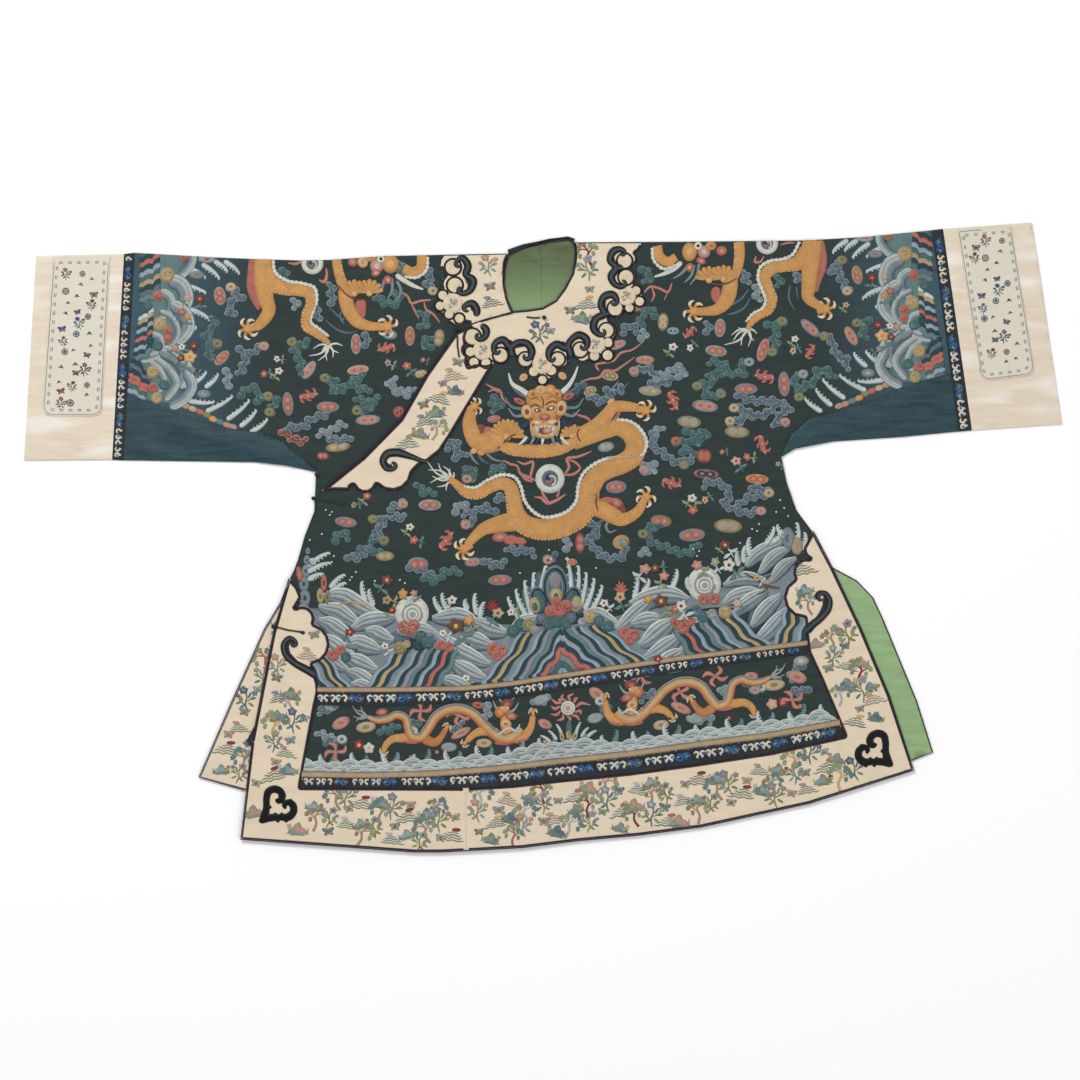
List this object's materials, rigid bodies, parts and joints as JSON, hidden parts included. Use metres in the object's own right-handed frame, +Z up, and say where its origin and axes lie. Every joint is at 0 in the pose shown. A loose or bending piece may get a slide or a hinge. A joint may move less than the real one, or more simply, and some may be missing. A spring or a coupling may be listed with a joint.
{
  "type": "chinese dragon robe",
  "caption": "Flat-laid silk dragon robe with a side-fastening overlap, wide sleeves, cream cuffs, an ivory cloud collar and embroidered ivory borders.",
  "frame": {"origin": "the middle of the underside of the whole robe's box, on the surface the robe lies on", "axes": "+X from the wearer's right sleeve to the left one, +Y from the hem to the neck, +Z up out of the front"},
  "size_m": [1.6598, 1.0074, 0.0121],
  "materials": {
    "ground_silk": "dark blue-green satin silk, embroidered",
    "gore_silk": "plain dark blue silk with a soft sheen",
    "cuff_silk": "cream figured satin",
    "ivory_silk": "ivory silk, embroidered",
    "black_satin": "black satin",
    "ribbon": "navy figured ribbon",
    "piping": "dark piping",
    "lining_silk": "green plain silk"
  },
  "bodies": {
    "root": {"back_piping": "piping", "border_left": "ivory_silk", "border_right": "ivory_silk", "border_underlap": "ivory_silk", "chest_button": "black_satin", "chest_loop": "black_satin", "collar_front": "ivory_silk", "collar_scroll_1": "black_satin", "collar_scroll_2_lower": "black_satin", "collar_scroll_2_upper": "black_satin", "collar_scroll_3": "black_satin", "collar_scroll_4": "black_satin", "collar_scroll_5": "black_satin", "collar_scroll_6": "black_satin", "collar_shoulder": "ivory_silk", "corner_cloud_left": "black_satin", "corner_cloud_right": "black_satin", "cuff_left": "cuff_silk", "cuff_panel_left": "ivory_silk", "cuff_panel_right": "ivory_silk", "cuff_right": "cuff_silk", "edge_piping": "piping", "gore_left": "gore_silk", "gore_right": "gore_silk", "hem_ribbon_lower": "ribbon", "hem_ribbon_upper": "ribbon", "left_half": "ground_silk", "lining_left": "lining_silk", "lining_right": "lining_silk", "neck_binding_back": "black_satin", "neck_binding_front": "black_satin", "neck_binding_side": "black_satin", "neck_button": "black_satin", "neck_loop": "black_satin", "overlap_band": "ivory_silk", "overlap_front": "ground_silk", "overlap_piping": "piping", "overlap_scroll": "black_satin", "right_half": "ground_silk", "sleeve_ribbon_left": "ribbon", "sleeve_ribbon_right": "ribbon", "slit_button": "black_satin", "slit_loop": "black_satin", "slit_scroll_left": "black_satin", "slit_scroll_right": "black_satin", "underarm_button_lower": "black_satin", "underarm_button_upper": "black_satin", "underarm_loop": "black_satin", "underlap_piping": "piping"}
  },
  "joints": []
}
